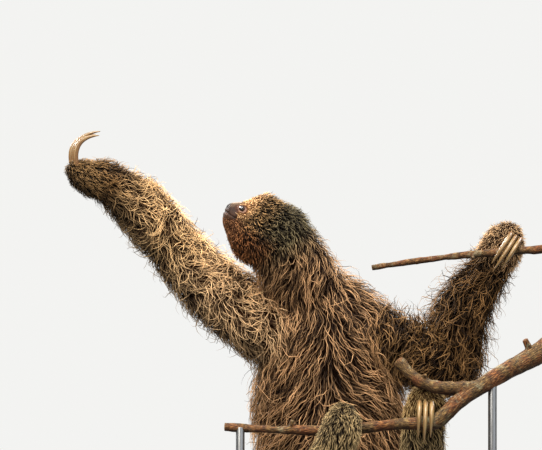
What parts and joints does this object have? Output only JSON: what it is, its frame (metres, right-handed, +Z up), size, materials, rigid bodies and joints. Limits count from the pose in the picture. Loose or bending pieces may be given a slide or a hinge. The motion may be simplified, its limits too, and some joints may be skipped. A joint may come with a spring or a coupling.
{
  "type": "three-toed sloth",
  "caption": "Life-size still model of a shaggy three-toed sloth that grips a cut forked branch, held over a flat wooden base by two steel rods.",
  "frame": {"origin": "centre of the wooden base's underside, where the model stands", "axes": "+Z up; the belly faces -Y, the face is turned towards -X, and the arm that holds the thin upper branch is on the +X side"},
  "size_m": [0.7526, 0.3787, 0.7477],
  "materials": {
    "trunk": "long coarse fur, matt",
    "eye_right": "wet, dark brown",
    "eye_left": "wet, dark brown",
    "muzzle": "bare dark skin, satin",
    "head": "short fur, matt",
    "neck": "short dense fur, matt",
    "upper_arm_right": "long coarse fur, matt",
    "forearm_right": "long coarse fur, matt",
    "upper_arm_left": "long coarse fur, matt",
    "forearm_left": "long coarse fur, matt",
    "thigh_right": "long coarse fur, matt",
    "shank_right": "long coarse fur, matt",
    "thigh_left": "long coarse fur, matt",
    "shank_left": "long coarse fur, matt",
    "hand_right": "short dense fur, matt",
    "hand_left": "short dense fur, matt",
    "foot_right": "short dense fur, matt",
    "foot_left": "short dense fur, matt",
    "tail": "short dense fur, matt",
    "claw_hand_right_1": "horn, satin",
    "claw_hand_right_2": "horn, satin",
    "claw_hand_right_3": "horn, satin",
    "claw_hand_left_1": "horn, satin",
    "claw_hand_left_2": "horn, satin",
    "claw_hand_left_3": "horn, satin",
    "claw_foot_right_1": "horn, satin",
    "claw_foot_right_2": "horn, satin",
    "claw_foot_right_3": "horn, satin",
    "claw_foot_left_1": "horn, satin",
    "claw_foot_left_2": "horn, satin",
    "claw_foot_left_3": "horn, satin",
    "perch_limb": "bark, matt",
    "perch_fork": "bark, matt",
    "perch_twig": "bark, matt",
    "stand_base": "oiled, satin",
    "stand_flange_left": "brushed",
    "stand_rod_left": "brushed",
    "stand_flange_right": "brushed",
    "stand_rod_right": "brushed"
  },
  "bodies": {
    "root": {"trunk": "trunk", "eye_right": "eye_right", "eye_left": "eye_left", "muzzle": "muzzle", "head": "head", "neck": "neck", "upper_arm_right": "upper_arm_right", "forearm_right": "forearm_right", "upper_arm_left": "upper_arm_left", "forearm_left": "forearm_left", "thigh_right": "thigh_right", "shank_right": "shank_right", "thigh_left": "thigh_left", "shank_left": "shank_left", "hand_right": "hand_right", "hand_left": "hand_left", "foot_right": "foot_right", "foot_left": "foot_left", "tail": "tail", "claw_hand_right_1": "claw_hand_right_1", "claw_hand_right_2": "claw_hand_right_2", "claw_hand_right_3": "claw_hand_right_3", "claw_hand_left_1": "claw_hand_left_1", "claw_hand_left_2": "claw_hand_left_2", "claw_hand_left_3": "claw_hand_left_3", "claw_foot_right_1": "claw_foot_right_1", "claw_foot_right_2": "claw_foot_right_2", "claw_foot_right_3": "claw_foot_right_3", "claw_foot_left_1": "claw_foot_left_1", "claw_foot_left_2": "claw_foot_left_2", "claw_foot_left_3": "claw_foot_left_3", "perch_limb": "perch_limb", "perch_fork": "perch_fork", "perch_twig": "perch_twig", "stand_base": "stand_base", "stand_flange_left": "stand_flange_left", "stand_rod_left": "stand_rod_left", "stand_flange_right": "stand_flange_right", "stand_rod_right": "stand_rod_right"}
  },
  "joints": []
}
